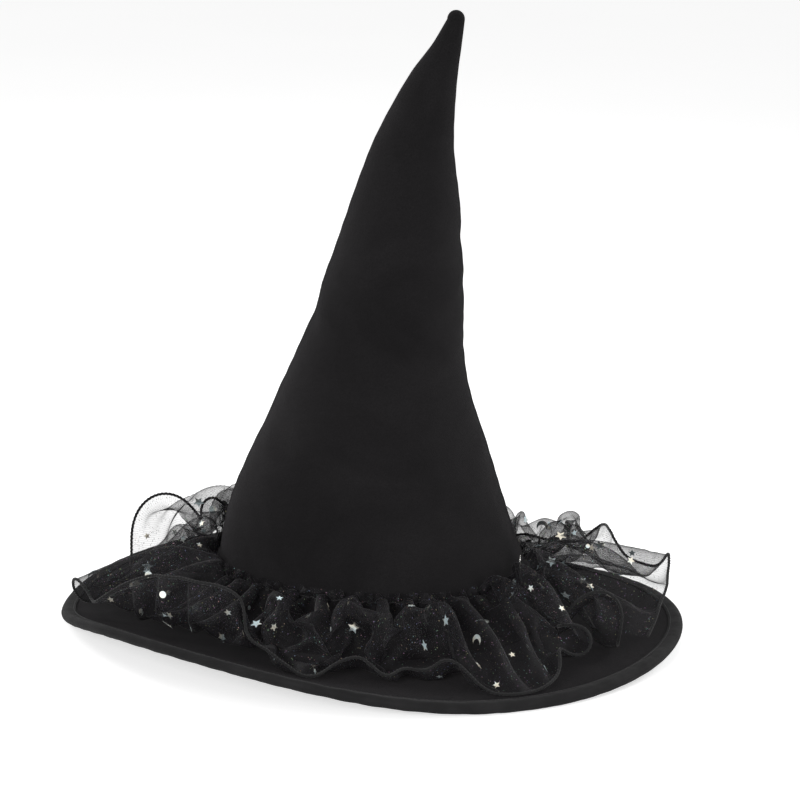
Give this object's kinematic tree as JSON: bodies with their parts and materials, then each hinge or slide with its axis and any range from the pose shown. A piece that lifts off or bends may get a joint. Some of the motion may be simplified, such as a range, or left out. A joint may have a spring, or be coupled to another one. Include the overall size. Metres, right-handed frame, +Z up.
{
  "type": "witch hat",
  "caption": "Tall leaning cloth witch hat with a wide wired brim, a bending tip and a gathered sheer ruffle with foil stars.",
  "frame": {"origin": "on the surface that the hat stands on, under the centre of the brim, with the hat resting on its rim", "axes": "+Z up towards the tip; -Y the back of the wearer's head; +X the wearer's right, the side the tip leans to"},
  "size_m": [0.38, 0.38, 0.3787],
  "materials": {
    "pile_cloth": "short matte pile, near black with a faint warm sheen",
    "brim_cloth": "short matte pile, near black",
    "binding": "woven folded strip, near black, slightly smoother than the pile",
    "felt_board": "pressed felt board",
    "edge_wire": "drawn wire",
    "foam": "open foam sheet backed with scrim",
    "lining": "smooth thin woven lining",
    "fibre_fill": "loose polyester fibre",
    "tape": "woven seam tape",
    "sweatband": "ribbed grosgrain band",
    "label": "blank woven label",
    "thread": "twisted sewing thread",
    "organza": "sheer crinkled organza with a fine iridescent glitter",
    "organza_heading": "organza gathered into many close layers",
    "hem_thread": "overlocked rolled edge",
    "foil": "thin mirror foil print",
    "pin_steel": "polished steel pin"
  },
  "bodies": {
    "crown": {"crown_back_panel": "pile_cloth", "crown_front_panel": "pile_cloth", "crown_interlining": "foam", "crown_lining": "lining", "crown_stuffing": "fibre_fill", "crown_seam_tape": "tape", "sweatband": "sweatband", "sweatband_stitching": "thread", "care_label": "label", "brim_top_cloth": "brim_cloth", "brim_under_cloth": "brim_cloth", "brim_stiffener": "felt_board", "brim_edge_wire": "edge_wire", "brim_binding": "binding", "binding_stitching": "thread", "ruffle_strip": "organza", "ruffle_heading": "organza_heading", "ruffle_stitching": "thread", "ruffle_hem": "hem_thread", "ruffle_stars": "foil", "ruffle_dots": "foil", "ruffle_moons": "foil", "ruffle_pin": "pin_steel"},
    "tip": {"tip_back_panel": "pile_cloth", "tip_front_panel": "pile_cloth", "tip_interlining": "foam", "tip_stuffing": "fibre_fill"}
  },
  "joints": [
    {"name": "tip_bend", "type": "hinge", "parent": "crown", "child": "tip", "pos_m": [0.01244, 0, 0.284], "axis": [0, 1, 0], "range_deg": [-20, 45]}
  ]
}
